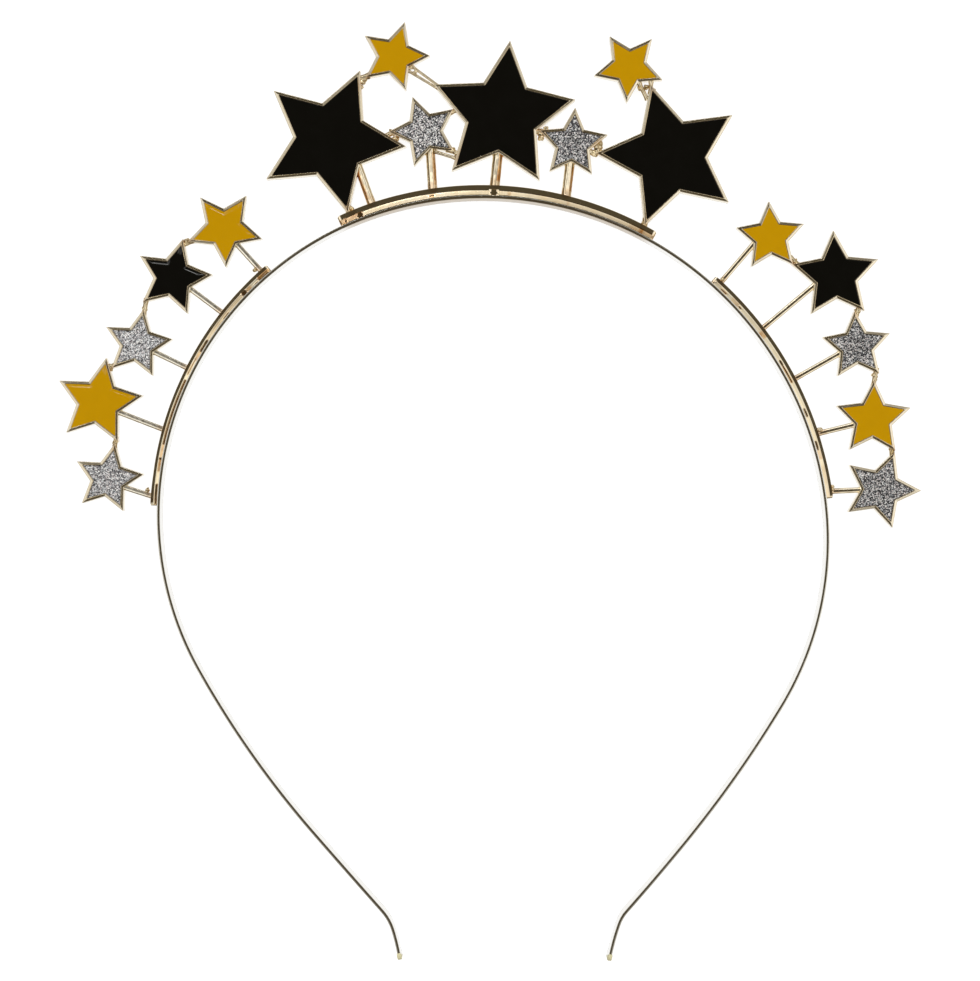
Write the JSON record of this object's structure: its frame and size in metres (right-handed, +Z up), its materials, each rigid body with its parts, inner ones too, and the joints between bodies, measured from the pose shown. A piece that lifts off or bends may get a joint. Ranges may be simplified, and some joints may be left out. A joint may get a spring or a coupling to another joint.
{
  "type": "star headband",
  "caption": "Springy open metal hoop worn over the head, with rails soldered round its outside that carry posts and flat enamelled stars of mixed sizes.",
  "frame": {"origin": "on the surface it lies on, under the middle of the overall box", "axes": "+Z up, the way the enamel faces; +Y from the open tips to the crown of the hoop; +X to the wearer's left as seen from the front"},
  "size_m": [0.1644, 0.1788, 0.005],
  "materials": {
    "gold_plate": "polished pale gold plating",
    "mustard_enamel": "glossy mustard enamel",
    "black_enamel": "glossy black enamel",
    "silver_glitter": "clear resin full of silver glitter"
  },
  "bodies": {
    "root": {"band": "gold_plate", "left_star_frame": "gold_plate", "top_star_frame": "gold_plate", "right_star_frame": "gold_plate", "left_enamel_1": "mustard_enamel", "left_enamel_2": "black_enamel", "left_enamel_3": "silver_glitter", "left_enamel_4": "mustard_enamel", "left_enamel_5": "silver_glitter", "top_enamel_1": "black_enamel", "top_enamel_2": "mustard_enamel", "top_enamel_3": "silver_glitter", "top_enamel_4": "black_enamel", "top_enamel_5": "silver_glitter", "top_enamel_6": "mustard_enamel", "top_enamel_7": "black_enamel", "right_enamel_1": "mustard_enamel", "right_enamel_2": "black_enamel", "right_enamel_3": "silver_glitter", "right_enamel_4": "mustard_enamel", "right_enamel_5": "silver_glitter"}
  },
  "joints": []
}
